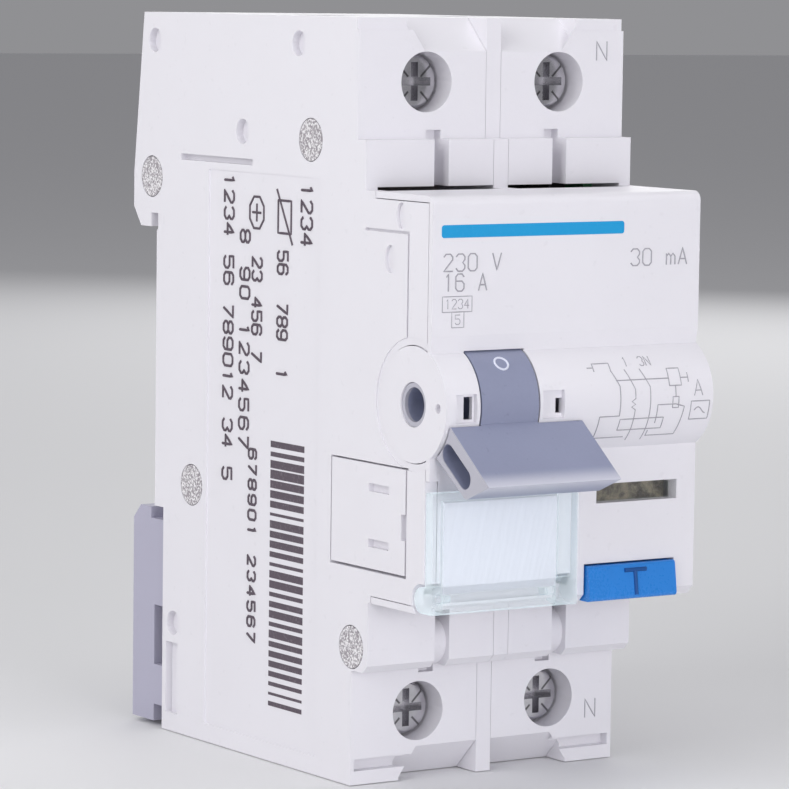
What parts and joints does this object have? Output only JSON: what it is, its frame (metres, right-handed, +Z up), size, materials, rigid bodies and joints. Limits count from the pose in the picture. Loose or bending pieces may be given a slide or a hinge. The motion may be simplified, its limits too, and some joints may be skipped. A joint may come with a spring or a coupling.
{
  "type": "modular residual current device",
  "caption": "Rail-mounted residual current device with overcurrent release: toggle, test button, hinged label flap, screw-cage terminals and a pull-down rail clip.",
  "frame": {"origin": "on the face that rests on the mounting rail, at the middle of the width and of the height", "axes": "+X across the width to the neutral side, +Z up, -Y out of the front"},
  "size_m": [0.035, 0.0724, 0.083],
  "materials": {
    "casing_plastic": "fine moulded satin",
    "clear_plastic": "clear polished",
    "card": "plain",
    "flag_plastic": "satin",
    "button_plastic": "moulded gloss",
    "toggle_plastic": "moulded satin",
    "clip_plastic": "moulded satin",
    "frame_plastic": "moulded satin",
    "bobbin_plastic": "moulded satin",
    "relay_plastic": "moulded satin",
    "copper": "rolled copper",
    "silver_tips": "silver alloy",
    "zinc_steel": "zinc plated",
    "spring_steel": "drawn wire",
    "plain_steel": "rolled",
    "fibre": "pressed fibre board",
    "core": "coated",
    "enamelled_wire": "enamelled",
    "board": "coated glass fibre board",
    "components": "moulded",
    "phase_sleeve": "insulation",
    "neutral_sleeve": "insulation",
    "rivet_metal": "rough set heads"
  },
  "bodies": {
    "casing": {"left_casing": "casing_plastic", "right_casing": "casing_plastic", "centre_partition": "casing_plastic", "front_cover": "casing_plastic", "accessory_cover": "casing_plastic", "label_card": "card", "indicator_lens": "clear_plastic", "test_button_spring": "spring_steel", "toggle_spring": "spring_steel", "fixed_contact_tips": "silver_tips", "arc_plates": "plain_steel", "arc_chute_sides": "fibre", "coil_bobbin": "bobbin_plastic", "trip_coil": "copper", "coil_yoke": "zinc_steel", "bimetal_strip": "plain_steel", "trip_relay": "relay_plastic", "transformer_core": "core", "transformer_winding": "enamelled_wire", "circuit_board": "board", "board_components": "components", "test_contact": "zinc_steel", "phase_lead": "phase_sleeve", "neutral_lead": "neutral_sleeve", "casing_rivets": "rivet_metal", "line_phase_terminal": "copper", "line_neutral_terminal": "copper", "load_phase_terminal": "copper", "load_neutral_terminal": "copper"},
    "toggle": {"toggle": "toggle_plastic"},
    "link": {"toggle_link": "zinc_steel"},
    "contacts": {"contact_carrier": "frame_plastic", "phase_contact_arm": "copper", "neutral_contact_arm": "copper", "phase_contact_tip": "silver_tips", "neutral_contact_tip": "silver_tips"},
    "label_flap": {"label_cover": "clear_plastic"},
    "button": {"test_button": "button_plastic"},
    "clip": {"rail_clip": "clip_plastic"},
    "flag": {"fault_indicator": "flag_plastic"},
    "release_plunger": {"trip_plunger": "plain_steel"},
    "release_bar": {"trip_bar": "frame_plastic"},
    "relay_pin": {"relay_plunger": "plain_steel"},
    "line_phase_screw": {"line_phase_screw": "zinc_steel"},
    "line_phase_cage": {"line_phase_cage": "zinc_steel"},
    "line_neutral_screw": {"line_neutral_screw": "zinc_steel"},
    "line_neutral_cage": {"line_neutral_cage": "zinc_steel"},
    "load_phase_screw": {"load_phase_screw": "zinc_steel"},
    "load_phase_cage": {"load_phase_cage": "zinc_steel"},
    "load_neutral_screw": {"load_neutral_screw": "zinc_steel"},
    "load_neutral_cage": {"load_neutral_cage": "zinc_steel"}
  },
  "joints": [
    {"name": "toggle_turn", "type": "hinge", "parent": "casing", "child": "toggle", "pos_m": [0, -0.0537, 0.00105], "axis": [-1, 0, 0], "range_deg": [0, 72]},
    {"name": "link_turn", "type": "hinge", "parent": "toggle", "child": "link", "pos_m": [0, -0.05558, 0.00363], "axis": [-1, 0, 0], "range_deg": [-72, 0]},
    {"name": "contacts_turn", "type": "hinge", "parent": "casing", "child": "contacts", "pos_m": [0, -0.01935, -0.004], "axis": [-1, 0, 0], "range_deg": [0, 18]},
    {"name": "label_flap_turn", "type": "hinge", "parent": "casing", "child": "label_flap", "pos_m": [-0.008, -0.0557, -0.0195], "axis": [1, 0, 0], "range_deg": [0, 95]},
    {"name": "button_press", "type": "slide", "parent": "casing", "child": "button", "axis": [0, 1, 0], "range_m": [0, 0.0016], "stiffness_N_per_m": 400, "springref_m": -0.0008, "deforming": ["test_button_spring"]},
    {"name": "clip_slide", "type": "slide", "parent": "casing", "child": "clip", "axis": [0, 0, -1], "range_m": [0, 0.0045]},
    {"name": "flag_slide", "type": "slide", "parent": "casing", "child": "flag", "axis": [0, 0, 1], "range_m": [0, 0.0024]},
    {"name": "release_stroke", "type": "slide", "parent": "casing", "child": "release_plunger", "axis": [0, 0, 1], "range_m": [0, 0.0015], "stiffness_N_per_m": 200, "springref_m": -0.001},
    {"name": "release_bar_turn", "type": "hinge", "parent": "casing", "child": "release_bar", "pos_m": [0, -0.036, -0.0025], "axis": [1, 0, 0], "range_deg": [0, 14.33]},
    {"name": "relay_pin_stroke", "type": "slide", "parent": "casing", "child": "relay_pin", "axis": [0, 0, 1], "range_m": [0, 0.0012], "stiffness_N_per_m": 200, "springref_m": -0.001},
    {"name": "line_phase_screw_turn", "type": "hinge", "parent": "casing", "child": "line_phase_screw", "pos_m": [-0.00875, -0.038, 0.0346], "axis": [0, 1, 0], "range_deg": [0, 2341]},
    {"name": "line_phase_cage_slide", "type": "slide", "parent": "casing", "child": "line_phase_cage", "axis": [0, -1, 0], "range_m": [0, 0.0052]},
    {"name": "line_neutral_screw_turn", "type": "hinge", "parent": "casing", "child": "line_neutral_screw", "pos_m": [0.00875, -0.038, 0.0346], "axis": [0, 1, 0], "range_deg": [0, 2341]},
    {"name": "line_neutral_cage_slide", "type": "slide", "parent": "casing", "child": "line_neutral_cage", "axis": [0, -1, 0], "range_m": [0, 0.0052]},
    {"name": "load_phase_screw_turn", "type": "hinge", "parent": "casing", "child": "load_phase_screw", "pos_m": [-0.00875, -0.038, -0.034], "axis": [0, 1, 0], "range_deg": [0, 2341]},
    {"name": "load_phase_cage_slide", "type": "slide", "parent": "casing", "child": "load_phase_cage", "axis": [0, -1, 0], "range_m": [0, 0.0052]},
    {"name": "load_neutral_screw_turn", "type": "hinge", "parent": "casing", "child": "load_neutral_screw", "pos_m": [0.00875, -0.038, -0.034], "axis": [0, 1, 0], "range_deg": [0, 2341]},
    {"name": "load_neutral_cage_slide", "type": "slide", "parent": "casing", "child": "load_neutral_cage", "axis": [0, -1, 0], "range_m": [0, 0.0052]}
  ],
  "couplings": [
    {"joint": "link_turn", "follows": "toggle_turn", "ratio": -1},
    {"joint": "contacts_turn", "follows": "toggle_turn", "ratio": 0.25},
    {"joint": "release_bar_turn", "follows": "release_stroke", "rad_per_m": 166.67},
    {"joint": "line_phase_screw_turn", "follows": "line_phase_cage_slide", "rad_per_m": 7854},
    {"joint": "line_neutral_screw_turn", "follows": "line_neutral_cage_slide", "rad_per_m": 7854},
    {"joint": "load_phase_screw_turn", "follows": "load_phase_cage_slide", "rad_per_m": 7854},
    {"joint": "load_neutral_screw_turn", "follows": "load_neutral_cage_slide", "rad_per_m": 7854}
  ]
}
